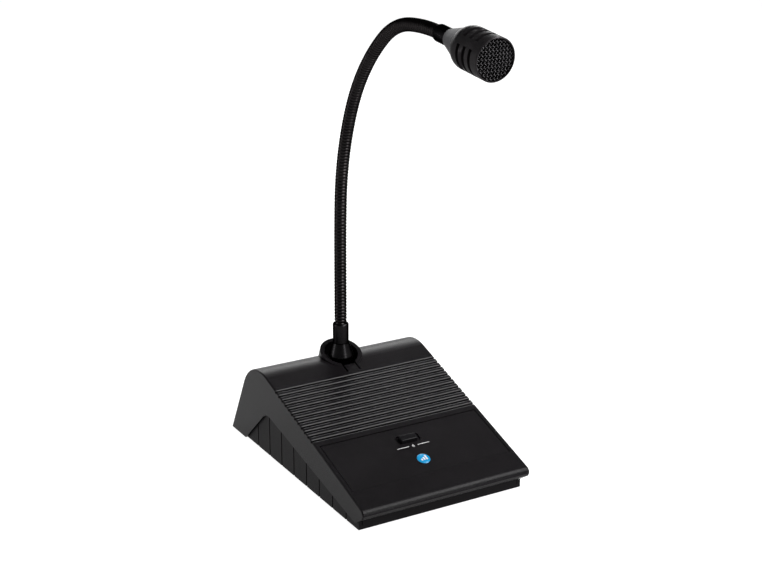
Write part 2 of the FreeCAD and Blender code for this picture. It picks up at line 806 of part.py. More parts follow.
def make_jack():
    """A 6.35 mm jack socket: threaded barrel through the rear wall, housing inside, nut and washer
    outside."""
    wall = float(dim("side_wall")) + 0.4
    inside = -wall - 0.05
    body = new_body("jack_body", jack_place())
    housing = new_sketch(body, "housing", offset=lift(inside))
    rectangle(housing, as_size(0.0), as_size(0.0), as_size(14.0), as_size(12.0), 1.0)
    pad(body, housing, 20.0, backward=True)
    barrel = new_sketch(body, "barrel", offset=lift(inside))
    circle(barrel, 0.0, 0.0, 5.0)
    pad(body, barrel, 3.4 - inside)
    drill(body, "bore", [(0.0, 0.0)], 3.3, 20.0, lift(3.4))
    washer = new_body("jack_washer", jack_place())
    sketch = new_sketch(washer, "outline")
    circle(sketch, 0.0, 0.0, 7.6)
    circle(sketch, 0.0, 0.0, 5.1)
    pad(washer, sketch, 0.6)
    nut = Part.Face(Part.makePolygon([hexagon(6.4, k) for k in range(7)])).extrude(Vector(0, 0, 2.2))
    nut = nut.cut(Part.makeCylinder(5.05, 4.0, Vector(0, 0, -1)))
    nut = nut.common(Part.makeCone(7.9, 6.3, 2.6))
    feature_from("jack_nut", nut, jack_place(0.6))
    tags = [Part.makeBox(2.0, 0.5, 5.0, Vector(x - 1.0, 2.0, inside - 25.0)) for x in (-4.0, 0.0, 4.0)]
    group("jack_contacts", tags).Placement = jack_place()


def hexagon(inner_radius, corner):
    turn = math.radians(60 * corner)
    reach = inner_radius / math.cos(math.radians(30))
    return Vector(reach * math.cos(turn), reach * math.sin(turn), 0)


def lead(label, points, radius):
    """A round lead along straight runs joined by tangent arcs."""
    spots = [Vector(*point) for point in points]
    edges = []
    last = spots[0]
    for before, corner, after in zip(spots, spots[1:], spots[2:]):
        into = (corner - before).normalize()
        away = (after - corner).normalize()
        turn = into.getAngle(away)
        back_off = 0.45 * min((corner - before).Length, (after - corner).Length)
        bend_radius = back_off / math.tan(turn / 2)
        first = corner - into * back_off
        second = corner + away * back_off
        inward = (away - into).normalize()
        middle = corner + inward * (bend_radius / math.cos(turn / 2) - bend_radius)
        edges.append(Part.LineSegment(last, first).toShape())
        edges.append(Part.Arc(first, middle, second).toShape())
        last = second
    edges.append(Part.LineSegment(last, spots[-1]).toShape())
    path = Part.Wire(edges)
    start = Part.Wire([Part.makeCircle(radius, spots[0], spots[1] - spots[0])])
    tube = path.makePipeShell([start], True, False)
    expected = math.pi * radius**2 * path.Length
    if abs(tube.Volume / expected - 1) > 0.01:
        raise RuntimeError(f"{label} has volume {tube.Volume:.1f}, not {expected:.1f}")
    feature_from(label, tube)


def make_leads():
    """The leads inside the base, each ending just clear of the header that it plugs into."""
    board = on_slope(dim("button_y"), -(board_drop + 1.6))
    neck_end = board.multVec(Vector(23.0, 15.4, -2.5))
    jack_end = board.multVec(Vector(34.0, 15.4, -2.5))
    neck_y = float(dim("neck_y"))
    stem_z = float(dim("stem_bottom_z"))
    lead(
        "neck_lead",
        [(0, neck_y, stem_z), (0, neck_y, 22.0), (5, 34.0, 16.5), (15, 18.0, 17.0), (22, -4.0, 19.0),
         tuple(neck_end)],
        1.3,
    )
    tag = jack_place(-29.0)
    start = tag.multVec(Vector(0, 2.2, 0))
    lead(
        "jack_lead",
        [tuple(start), (4, 44.0, 13.5), (18, 28.0, 13.5), (30, 10.0, 15.0), (34, -6.0, 18.0),
         tuple(jack_end)],
        1.3,
    )


# ---------------------------------------------------------------- neck


def make_neck_fitting():
    """The threaded stem with its flange, the cone and the sleeve, all turned about the neck's
    upright axis."""
    place = Placement(Vector(0, float(dim("neck_y")), 0), Rotation())
    bore = as_size(2.0)
    stem, flange = dim("stem_radius"), dim("flange_radius")
    turned("neck_stem", [
        (bore, dim("stem_bottom_z")),
        (stem, dim("stem_bottom_z")),
        (stem, dim("seat_z")),
        (flange, dim("seat_z")),
        (flange, dim("cone_bottom_z")),
        (bore, dim("cone_bottom_z")),
    ], place)
    turned("neck_cone", [
        (bore, dim("cone_bottom_z")),
        (dim("cone_radius") - 0.7, dim("cone_bottom_z")),
        (dim("cone_radius"), dim("cone_lip_z") - 0.6),
        (dim("cone_radius"), dim("cone_lip_z")),
        (dim("sleeve_radius") + 0.4, dim("cone_top_z")),
        (bore, dim("cone_top_z")),
    ], place)
    outer, top = dim("sleeve_radius"), dim("sleeve_top_z")
    inner = dim("neck_radius") + 0.05
    turned("neck_sleeve", [
        (bore, dim("cone_top_z")),
        (outer - 0.5, dim("cone_top_z")),
        (outer, dim("cone_top_z") + 0.5),
        (outer, top - 1.3),
        Bend(outer - 1.3, top, as_size(1.3)),
        (inner, top),
        (inner, dim("cone_top_z") + 2.0),
        (bore, dim("cone_top_z") + 2.0),
    ], place)
    washer_top = dim("boss_bottom_z")
    turned("neck_washer", [
        (stem + 0.1, washer_top - 1.2),
        (as_size(8.8), washer_top - 1.2),
        (as_size(8.8), washer_top),
        (stem + 0.1, washer_top),
    ], place)
    nut = Part.Face(Part.makePolygon([hexagon(7.6, k) for k in range(7)])).extrude(Vector(0, 0, 5.0))
    nut = nut.cut(Part.makeCylinder(float(stem) + 0.05, 8.0, Vector(0, 0, -1)))
    feature_from("neck_lock_nut", nut, Placement(Vector(0, float(dim("neck_y")),
                                                        float(washer_top) - 6.2), Rotation()))


def neck_stations():
    """Centre-line points and leans at the sleeve, at each joint and at the ferrule; each span is
    one arc."""
    lengths = [float(dim("neck_root_length"))] + [float(dim("link_length"))] * (len(NECK_LEAN) - 2)
    spot = Vector(0, float(dim("neck_y")), float(dim("sleeve_top_z")))
    stations = [(spot, NECK_LEAN[0])]
    for length, before, after in zip(lengths, NECK_LEAN, NECK_LEAN[1:]):
        turn = math.radians(after - before)
        middle = math.radians((after + before) / 2)
        chord = length * math.sin(turn / 2) / (turn / 2)
        spot = spot + Vector(0, -math.sin(middle), math.cos(middle)) * chord
        stations.append((spot, after))
    return stations


def span_solid(start, start_lean, end, end_lean, radius):
    """A round bar bent along the arc between two stations."""
    face = Part.Face(Part.Wire([Part.makeCircle(radius, start, heading(start_lean))]))
    turn = math.radians(end_lean - start_lean)
    if abs(turn) < 1e-4:
        return face.extrude(end - start)
    bend_radius = (end - start).Length / 2 / math.sin(turn / 2)
    side = Vector(0, -math.cos(math.radians(start_lean)), -math.sin(math.radians(start_lean)))
    return face.revolve(start + side * bend_radius, Vector(1, 0, 0), math.degrees(turn))


def heading(lean):
    return Vector(0, -math.sin(math.radians(lean)), math.cos(math.radians(lean)))


def make_gooseneck():
    """The tube as short links: a ball on the upper end of each sits in a cup in the foot of the next."""
    radius = float(dim("neck_radius"))
    ball = float(dim("ball_radius"))
    gap = float(dim("link_gap"))
    stations = neck_stations()
    for index, (low, high) in enumerate(zip(stations, stations[1:])):
        (start, start_lean), (end, end_lean) = low, high
        link = span_solid(start, start_lean, end, end_lean, radius)
        if index == 0:
            tail = start - heading(start_lean) * 12.4
            link = Part.makeCylinder(radius, 12.4, tail, heading(start_lean)).fuse(link)
        else:
            link = link.cut(Part.makeCylinder(radius * 2, gap * 2, start - heading(start_lean) * gap,
                                              heading(start_lean)))
            link = link.cut(Part.makeSphere(ball + float(dim("ball_clear")), start))
        if index < len(stations) - 2:
            link = link.cut(Part.makeCylinder(radius * 2, gap * 2, end - heading(end_lean) * gap,
                                              heading(end_lean)))
            neck = Part.makeCylinder(1.7, gap + 1.0, end - heading(end_lean) * (gap + 1.0),
                                     heading(end_lean))
            link = link.fuse(neck).fuse(Part.makeSphere(ball, end))
        else:
            link = link.fuse(Part.makeCylinder(radius, 6.0, end, heading(end_lean)))
        feature_from("gooseneck_root" if index == 0 else f"gooseneck_link_{index}", link.removeSplitter())


# ---------------------------------------------------------------- head


def head_place():
    """The head's own Z axis points out of its face; its origin is the face's centre."""
    spot, lean = neck_stations()[-1]
    axis = heading(lean)
    face = spot + axis * (float(dim("ferrule_rear")) - 1.0)
    return Placement(face, Rotation(Vector(0, 0, 1), axis))


def ring_outline(inner, outer, back, front):
    return [(inner, -back), (outer, -back), (outer, -front), (inner, -front)]


def make_head_shell(place):
    """Turned body with an ogive tail, then three groups of three slots with bridges between them."""
    outer, bore, tail = dim("head_radius"), dim("head_bore"), dim("head_tail")
    mouth = dim("tail_radius") - 1.6
    shell = turned("head_shell", [
        (mouth, -tail),
        (dim("tail_radius"), -tail),
        Bend(outer, -dim("shoulder_start"), dim("shoulder_radius"), ccw=True),
        (outer, as_size(-0.5)),
        (outer - 0.5, as_size(0.0)),
        (outer - 0.8, as_size(0.0)),
        (outer - 0.8, as_size(-2.0)),
        (bore, as_size(-2.0)),
        (bore, 0.7 - dim("shoulder_start")),
    ], place)
    slot = new_sketch(shell, "slot", offset=Placement(Vector(0, 0, -float(dim("first_slot"))), Rotation()))
    half = math.radians(float(dim("slot_arc")) / 2)
    inner, reach = dim("head_bore") - 1.0, dim("head_radius") + 2.0
    for turn in range(3):
        middle = math.radians(float(dim("bridge_angle")) + 60.0 + 120.0 * turn)
        cos_low, sin_low = math.cos(middle - half), math.sin(middle - half)
        cos_high, sin_high = math.cos(middle + half), math.sin(middle + half)
        outline(slot, [
            (reach * cos_low, reach * sin_low),
            Bend(reach * cos_high, reach * sin_high, reach),
            (inner * cos_high, inner * sin_high),
            Bend(inner * cos_low, inner * sin_low, inner, ccw=False),
        ])
    cut = pocket(shell, slot, dim("slot_width"), symmetric=True)
    rows = shell.newObject("PartDesign::LinearPattern", "slot_rows")
    rows.Originals = [cut]
    rows.Direction = (slot, ["N_Axis"])
    rows.Reversed = True
    bind(rows, "Length", dim("slot_pitch") * 2)
    rows.Occurrences = 3
    shell.Tip = rows
    doc.recompute()


def make_grille(place):
    """Front grille: a disc with square holes on a diagonal grid, seated inside the shell's front lip."""
    disc = new_body("front_grille", place)
    sketch = new_sketch(disc, "disc", offset=lift(-1.9))
    circle(sketch, 0.0, 0.0, dim("head_radius") - 0.85)
    pad(disc, sketch, 0.9)
    holes = new_sketch(disc, "holes", offset=lift(-1.0))
    pitch, side = 2.6, 1.7
    for column in range(-4, 5):
        for row in range(-4, 5):
            if math.hypot(column, row) * pitch < float(dim("head_radius")) - 3.2:
                x, y = column * pitch, row * pitch
                corners = [(x - side / 2, y - side / 2), (x + side / 2, y - side / 2),
                           (x + side / 2, y + side / 2), (x - side / 2, y + side / 2)]
                spots = [Vector(*corner, 0) for corner in corners]
                for k in range(4):
                    holes.addGeometry(Part.LineSegment(spots[k - 1], spots[k]), False)
    pocket(disc, holes, 2.0)


def make_head():
    place = head_place()
    make_head_shell(place)
    make_grille(place)
    front, rear = dim("ferrule_front"), dim("ferrule_rear")
    radius, inner = dim("ferrule_radius"), dim("neck_radius") + 0.05
    turned("upper_ferrule", [
        (inner, -rear),
        (radius - 0.9, -rear),
        Bend(radius, -rear + 0.9, as_size(0.9)),
        (radius, -front),
        (as_size(3.0), -front),
        (as_size(3.0), -front + 4.0),
        (as_size(1.3), -front + 4.0),
        (as_size(1.3), -rear + 7.2),
        (inner, -rear + 7.2),
    ], place)
    tail = dim("head_tail")
    spigot = dim("tail_radius") - 1.7
    cavity = spigot - 1.3
    lead_bore = as_size(3.05)
    cone = turned("rear_cone", [
        (lead_bore, -front),
        (radius + 0.15, -front),
        (dim("tail_radius") - 0.15, -tail),
        (spigot, -tail),
        (spigot, 3.0 - tail),
        (cavity, 3.0 - tail),
        (cavity, -tail - 1.0),
        (lead_bore, 5.2 - front),
    ], place)
    screw_hole = new_sketch(cone, "set_screw_hole", "XZ_Plane")
    circle(screw_hole, 0.0, 2.6 - front, 1.03)
    pocket(cone, screw_hole, 12.0, backward=True)
    capsule = dim("capsule_radius")
    capsule_rear = as_size(18.0)
    magnet_rear = capsule_rear + 5.5
    turned("foam_disc", ring_outline(as_size(0.0), dim("head_bore") - 0.2, as_size(4.6), as_size(2.05)),
           place)
    turned("slot_screen", ring_outline(dim("head_bore") - 0.45, dim("head_bore") - 0.1, as_size(23.4),
                                       as_size(4.8)), place)
    turned("capsule_body", ring_outline(as_size(0.0), capsule, capsule_rear, as_size(7.0)), place)
    turned("capsule_cap", [
        (as_size(0.0), as_size(-7.0)),
        (capsule, as_size(-7.0)),
        (capsule, as_size(-6.2)),
        Bend(as_size(3.0), as_size(-5.0), as_size(18.0)),
        (as_size(0.0), as_size(-5.0)),
    ], place)
    turned("capsule_magnet", ring_outline(as_size(0.0), as_size(6.0), magnet_rear, capsule_rear), place)
    ring_inner, ring_outer = capsule + 0.03, dim("head_bore") - 0.5
    turned("front_shock_ring", ring_outline(ring_inner, ring_outer, as_size(10.0), as_size(7.6)), place)
    turned("rear_shock_ring", ring_outline(ring_inner, ring_outer, capsule_rear - 0.4,
                                           capsule_rear - 2.8), place)
    tags = [Part.makeBox(1.6, 0.4, 3.0, Vector(x - 0.8, -0.2, -float(magnet_rear) - 3.0))
            for x in (-3.5, 3.5)]
    group("capsule_terminals", tags).Placement = place
    turned("head_lead", ring_outline(as_size(0.0), as_size(1.2), rear - 7.6, magnet_rear + 0.1), place)
    screw_z = 2.6 - float(front)
    grub = Part.makeCylinder(1.0, 2.4, Vector(0, -3.15, screw_z), Vector(0, -1, 0))
    key = Part.makePolygon([hexagon(0.45, k) for k in range(7)])
    socket = Part.Face(key).extrude(Vector(0, 0, 1.2))
    socket.rotate(Vector(0, 0, 0), Vector(1, 0, 0), 90)
    socket.translate(Vector(0, -4.5, screw_z))
    group("cone_set_screw", [grub.cut(socket)]).Placement = place


# ---------------------------------------------------------------- build, check and write


def build():
    make_top_cover()
    make_bottom_shell()
    make_fascia()
    make_badge()
    make_legend()
    make_button()
    make_switch()
    make_board()
    make_base_hardware()
    make_jack()
    make_leads()
    make_neck_fitting()
    make_gooseneck()
    make_head()
    doc.recompute()


def check():
    """Every object has to have built, and every sub-part has to be one or more valid solids."""
    for thing in doc.Objects:
        check_built(thing)
    for node in nodes:
        shape = node.Shape
        if shape.isNull() or not shape.isValid() or not shape.Solids:
            raise RuntimeError(f"{node.Label} has no valid solid")
        print(f"{node.Label:20s} {len(shape.Solids):2d} {shape.Volume:10.1f}")


def write():
    os.makedirs("parts", exist_ok=True)
    for node in nodes:
        node.Shape.exportStep(f"parts/{node.Label}.step")


build()
check()
write()
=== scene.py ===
import json
import math

import bpy
from mathutils import Matrix, Quaternion, Vector


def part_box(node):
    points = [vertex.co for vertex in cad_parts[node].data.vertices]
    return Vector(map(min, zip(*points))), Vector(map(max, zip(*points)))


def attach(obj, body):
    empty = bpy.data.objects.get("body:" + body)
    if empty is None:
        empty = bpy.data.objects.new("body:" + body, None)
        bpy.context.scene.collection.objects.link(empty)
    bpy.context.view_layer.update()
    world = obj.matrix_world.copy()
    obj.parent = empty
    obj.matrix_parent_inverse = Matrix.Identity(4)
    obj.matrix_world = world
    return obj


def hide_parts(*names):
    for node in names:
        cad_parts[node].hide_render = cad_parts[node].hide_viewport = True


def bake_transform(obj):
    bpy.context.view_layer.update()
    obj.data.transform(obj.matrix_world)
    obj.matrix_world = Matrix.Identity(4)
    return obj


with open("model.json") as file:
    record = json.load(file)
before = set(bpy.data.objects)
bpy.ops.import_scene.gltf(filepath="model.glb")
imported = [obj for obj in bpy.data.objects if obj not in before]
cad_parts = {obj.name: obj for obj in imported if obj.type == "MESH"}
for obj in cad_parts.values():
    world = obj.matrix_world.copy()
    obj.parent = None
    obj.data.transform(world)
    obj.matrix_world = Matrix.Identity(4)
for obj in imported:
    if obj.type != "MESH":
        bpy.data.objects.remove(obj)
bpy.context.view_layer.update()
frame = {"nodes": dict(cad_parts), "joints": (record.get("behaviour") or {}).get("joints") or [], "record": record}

MM = 0.001


def windscreen_seat():
    """The point and the axis of the head's mount."""
    seat = next(mount for mount in frame["record"]["mounts"] if mount["name"] == "windscreen_seat")
    return Vector(seat["pos_m"]), Vector(seat["axis"])


def slope_normal():
    press = next(joint for joint in frame["joints"] if joint["name"] == "talk_button_press")
    return -Vector(press["axis"])


# ---------------------------------------------------------------- camera and light

CAMERA_AZIMUTH = -30.12
CAMERA_ELEVATION = 19.12
CAMERA_ROLL = 0.12
CAMERA_DISTANCE = 1.0571
CAMERA_AIM = Vector((0.00819, 0.00485, 0.12661))
CAMERA_LENS = 74.43


def direction(azimuth, elevation):
    """The unit vector from the object towards an azimuth and elevation in degrees; azimuth 0 is the front."""
    a, e = math.radians(azimuth), math.radians(elevation)
    return Vector((math.sin(a) * math.cos(e), -math.cos(a) * math.cos(e), math.sin(e)))


def make_camera():
    data = bpy.data.cameras.new("camera")
    data.lens = CAMERA_LENS
    data.sensor_width = 36.0
    data.clip_start = 0.05
    data.clip_end = 20.0
    camera = bpy.data.objects.new("camera", data)
    bpy.context.scene.collection.objects.link(camera)
    back = direction(CAMERA_AZIMUTH, CAMERA_ELEVATION)
    camera.location = CAMERA_AIM + back * CAMERA_DISTANCE
    roll = Quaternion((0, 0, 1), math.radians(CAMERA_ROLL))
    camera.rotation_euler = ((-back).to_track_quat("-Z", "Y") @ roll).to_euler()
    bpy.context.scene.camera = camera


def area_light(name, azimuth, elevation, distance, width, height, power, aim=Vector((0, 0, 0.12))):
    data = bpy.data.lights.new(name, "AREA")
    data.shape = "RECTANGLE"
    data.size = width
    data.size_y = height
    data.energy = power
    light = bpy.data.objects.new(name, data)
    bpy.context.scene.collection.objects.link(light)
    back = direction(azimuth, elevation)
    light.location = aim + back * distance
    light.rotation_euler = (-back).to_track_quat("-Z", "Y").to_euler()
    light.visible_camera = False


def make_lights():
    """Tall strips left and right of the camera, a high box for the nose, one behind, and a surround that is
    white near the horizon and dark above it, so that the slope stays black."""
    chest = Vector((0, 0, 0.36))
    area_light("strip_left", -114.0, 0.0, 0.62, 0.12, 0.70, 1.9, chest)
    area_light("strip_right", 17.0, 0.0, 0.66, 0.12, 0.70, 2.6, chest)
    area_light("box_nose_high", 60.0, 54.0, 1.4, 0.9, 0.34, 22.0)
    area_light("box_nose_low", 37.0, 38.0, 1.4, 0.6, 0.40, 17.0)
    area_light("box_back", 165.0, 22.0, 1.5, 1.6, 0.45, 16.0)
    world = bpy.data.worlds.new("surround")
    world.use_nodes = True
    tree = world.node_tree
    place = tree.nodes.new("ShaderNodeTexCoord")
    parts = tree.nodes.new("ShaderNodeSeparateXYZ")
    ramp = tree.nodes.new("ShaderNodeValToRGB")
    tree.links.new(place.outputs["Generated"], parts.inputs["Vector"])
    tree.links.new(parts.outputs["Z"], ramp.inputs["Fac"])
    stops = ramp.color_ramp.elements
    stops[0].position = 0.05
    stops[0].color = (1.0, 1.0, 1.0, 1.0)
    stops[1].position = 0.24
    stops[1].color = (0.11, 0.11, 0.115, 1.0)
    tree.links.new(ramp.outputs["Color"], tree.nodes["Background"].inputs["Color"])
    bpy.context.scene.world = world
    bpy.context.scene.view_settings.view_transform = "Standard"


FLOOR_REACH = 12.0
FLOOR_GLOW = 0.95


def make_floor():
    """A pale floor that runs back far beyond the view."""
    reach = FLOOR_REACH
    corners = [(-reach, -reach, 0), (reach, -reach, 0), (reach, reach, 0), (-reach, reach, 0)]
    mesh = mesh_from("floor", corners, [(0, 1, 2, 3)])
    floor = bpy.data.objects.new("floor", mesh)
    bpy.context.scene.collection.objects.link(floor)
    white = Finish(new_material("floor_white"))
    white.set(Base_Color=(0.22, 0.22, 0.22, 1.0), Roughness=0.9, Specular_IOR_Level=0.1)
    white.set(Emission_Color=(1.0, 1.0, 1.0, 1.0), Emission_Strength=FLOOR_GLOW)
    mesh.materials.append(white.material)


# ---------------------------------------------------------------- materials


def new_material(name):
    material = bpy.data.materials.new(name)
    material.use_nodes = True
    return material


class Finish:
    """A material under construction: its nodes, and short ways to join them."""

    def __init__(self, material):
        self.material = material
        self.tree = material.node_tree
        self.shader = self.tree.nodes["Principled BSDF"]
        self.place = self.tree.nodes.new("ShaderNodeTexCoord").outputs["Object"]

    def set(self, **inputs):
        """Sets the shader's inputs; a name's underscores stand for spaces."""
        for name, value in inputs.items():
            self.shader.inputs[name.replace("_", " ")].default_value = value

    def link(self, source, target):
        self.tree.links.new(source, target)

    def noise(self, scale, detail=4.0, roughness=0.55, stretch=None):
        """Noise with that many features per metre, drawn out along an axis where stretch says so."""
        node = self.tree.nodes.new("ShaderNodeTexNoise")
        node.inputs["Scale"].default_value = scale
        node.inputs["Detail"].default_value = detail
        node.inputs["Roughness"].default_value = roughness
        self.link(self.stretched(stretch), node.inputs["Vector"])
        return node.outputs["Fac"]

    def cells(self, scale, feature="F1"):
        node = self.tree.nodes.new("ShaderNodeTexVoronoi")
        node.feature = feature
        node.inputs["Scale"].default_value = scale
        self.link(self.place, node.inputs["Vector"])
        return node.outputs["Distance"]

    def stretched(self, stretch):
        if stretch is None:
            return self.place
        node = self.tree.nodes.new("ShaderNodeMapping")
        node.inputs["Scale"].default_value = stretch
        self.link(self.place, node.inputs["Vector"])
        return node.outputs["Vector"]

    def spread(self, value, low, high, from_low=0.3, from_high=0.7):
        """The value's usual range, mapped to low..high."""
        node = self.tree.nodes.new("ShaderNodeMapRange")
        node.inputs["From Min"].default_value = from_low
        node.inputs["From Max"].default_value = from_high
        node.inputs["To Min"].default_value = low
        node.inputs["To Max"].default_value = high
        self.link(value, node.inputs["Value"])
        return node.outputs["Result"]

    def colours(self, value, dark, light):
        node = self.tree.nodes.new("ShaderNodeMix")
        node.data_type = "RGBA"
        node.inputs["A"].default_value = (*dark, 1.0)
        node.inputs["B"].default_value = (*light, 1.0)
        self.link(value, node.inputs["Factor"])
        return node.outputs["Result"]

    def bump(self, height, distance, strength=1.0, under=None):
        node = self.tree.nodes.new("ShaderNodeBump")
        node.inputs["Strength"].default_value = strength
        node.inputs["Distance"].default_value = distance
        self.link(height, node.inputs["Height"])
        if under is not None:
            self.link(under, node.inputs["Normal"])
        return node.outputs["Normal"]

    def arithmetic(self, operation, *values):
        """A Math node of its three inputs, each a socket or a number."""
        node = self.tree.nodes.new("ShaderNodeMath")
        node.operation = operation
        for socket, value in zip(node.inputs, values):
            if isinstance(value, (int, float)):
                socket.default_value = value
            else:
                self.link(value, socket)
        return node.outputs["Value"]


def scaled(colour, factor):
    return tuple(part * factor for part in colour)


FLOW_SCALE = 28.0
FLOW_MOTTLE = 0.22


def moulded(name, colour, roughness, grain=2600.0, depth=0.05 * MM, specular=0.06):
    """Moulded plastic with a spark-eroded grain: fine pits and faint flow mottling."""
    finish = Finish(new_material(name))
    flow = finish.spread(finish.noise(FLOW_SCALE, 3.0), 0.0, 1.0)
    fine = finish.noise(grain, 3.0, 0.6)
    pits = finish.cells(grain * 0.8)
    tint = finish.colours(flow, scaled(colour, 1 - FLOW_MOTTLE), scaled(colour, 1 + FLOW_MOTTLE))
    finish.link(tint, finish.shader.inputs["Base Color"])
    gloss = finish.spread(fine, roughness - 0.06, roughness + 0.07)
    finish.link(gloss, finish.shader.inputs["Roughness"])
    grainy = finish.bump(fine, depth, 0.9)
    finish.link(finish.bump(pits, depth * 0.6, 0.6, grainy), finish.shader.inputs["Normal"])
    finish.set(Specular_IOR_Level=specular)
    return finish.material


GROOVE_FIRST_Y = 23.0 * MM
GROOVE_FIRST_Z = 54.16 * MM
GROOVE_PITCH = 4.87 * MM
GROOVE_COUNT = 12
LIP_MIDDLE = 1.15 * MM
LIP_HALF = 0.45 * MM
LIP_DROP = 0.85 * MM
GROOVE_REACH = 62.0 * MM
COVER_SPECULAR = 0.06
LIP_SPECULAR = 0.20


def measured(finish, point, way):
    """How far a point in the YZ plane lies from the first groove's middle, along that way."""
    total = -GROOVE_FIRST_Y * way[0] - GROOVE_FIRST_Z * way[1]
    for coordinate, share in zip(point, way):
        total = finish.arithmetic("MULTIPLY_ADD", coordinate, share, total)
    return total


def glossy_lips(material, matt, glossy):
    """The rounded lips of the slope's grooves, rubbed glossy: the specular level goes from matt to glossy
    where a point is as far from a groove's middle, measured along the slope, as a lip is."""
    finish = Finish(material)
    rise, run = -slope_normal().y, slope_normal().z
    split = finish.tree.nodes.new("ShaderNodeSeparateXYZ")
    finish.link(finish.place, split.inputs["Vector"])
    x, y, z = (split.outputs[axis] for axis in "XYZ")
    along = measured(finish, (y, z), (run, rise))
    above = measured(finish, (y, z), (-rise, run))
    from_groove = finish.arithmetic("PINGPONG", along, GROOVE_PITCH / 2)
    row = GROOVE_PITCH * (GROOVE_COUNT - 1) / 2
    tests = [
        finish.arithmetic("COMPARE", from_groove, LIP_MIDDLE, LIP_HALF),
        finish.arithmetic("COMPARE", along, -row, row + GROOVE_PITCH / 2),
        finish.arithmetic("COMPARE", above, 0.0, LIP_DROP),
        finish.arithmetic("COMPARE", x, 0.0, GROOVE_REACH),
    ]
    lip = 1.0
    for test in tests:
        lip = finish.arithmetic("MULTIPLY", lip, test)
    level = finish.arithmetic("MULTIPLY_ADD", lip, glossy - matt, matt)
    finish.link(level, finish.shader.inputs["Specular IOR Level"])
    return material


def metal(name, colour, roughness, grain=900.0, depth=0.01 * MM, stretch=None):
    """Bare or plated metal, with tool marks drawn out along stretch."""
    finish = Finish(new_material(name))
    marks = finish.noise(grain, 5.0, 0.6, stretch)
    haze = finish.noise(45.0, 3.0)
    tint = finish.colours(finish.spread(haze, 0.0, 1.0), scaled(colour, 0.86), scaled(colour, 1.06))
    finish.link(tint, finish.shader.inputs["Base Color"])
    finish.link(finish.spread(marks, roughness - 0.07, roughness + 0.12), finish.shader.inputs["Roughness"])
    finish.link(finish.bump(marks, depth, 0.8), finish.shader.inputs["Normal"])
    finish.set(Metallic=1.0)
    return finish.material


def enamel(name, colour, roughness, orange_peel=1500.0, depth=0.012 * MM, coat=0.0, specular=0.5,
           metallic=0.0, edge=1.0):
    """Paint or anodising on metal: a faint orange peel, and slightly uneven gloss. With metallic set, the
    colour is its reflection, and edge is how much of the glancing reflection is left."""
    finish = Finish(new_material(name))
    peel = finish.noise(orange_peel, 2.0, 0.5)
    haze = finish.noise(60.0, 3.0)
    tint = finish.colours(finish.spread(haze, 0.0, 1.0), scaled(colour, 0.85), scaled(colour, 1.15))
    finish.link(tint, finish.shader.inputs["Base Color"])
    finish.link(finish.spread(haze, roughness - 0.04, roughness + 0.05), finish.shader.inputs["Roughness"])
    finish.link(finish.bump(peel, depth, 0.7), finish.shader.inputs["Normal"])
    finish.set(Coat_Weight=coat, Specular_IOR_Level=specular, Metallic=metallic)
    finish.set(Specular_Tint=(edge, edge, edge, 1.0))
    return finish.material


def cloth(name, colour, threads):
    """Fine woven or foamed stuff, dark in its pores."""
    finish = Finish(new_material(name))
    finish.set(Roughness=0.95, Sheen_Weight=0.04, Specular_IOR_Level=0.05)
    pores = finish.cells(threads, "SMOOTH_F1")
    tint = finish.colours(finish.spread(pores, 0.0, 1.0, 0.1, 0.6), scaled(colour, 1.4), scaled(colour, 0.5))
    finish.link(tint, finish.shader.inputs["Base Color"])
    finish.link(finish.bump(pores, 0.15 * MM, 0.8), finish.shader.inputs["Normal"])
    return finish.material


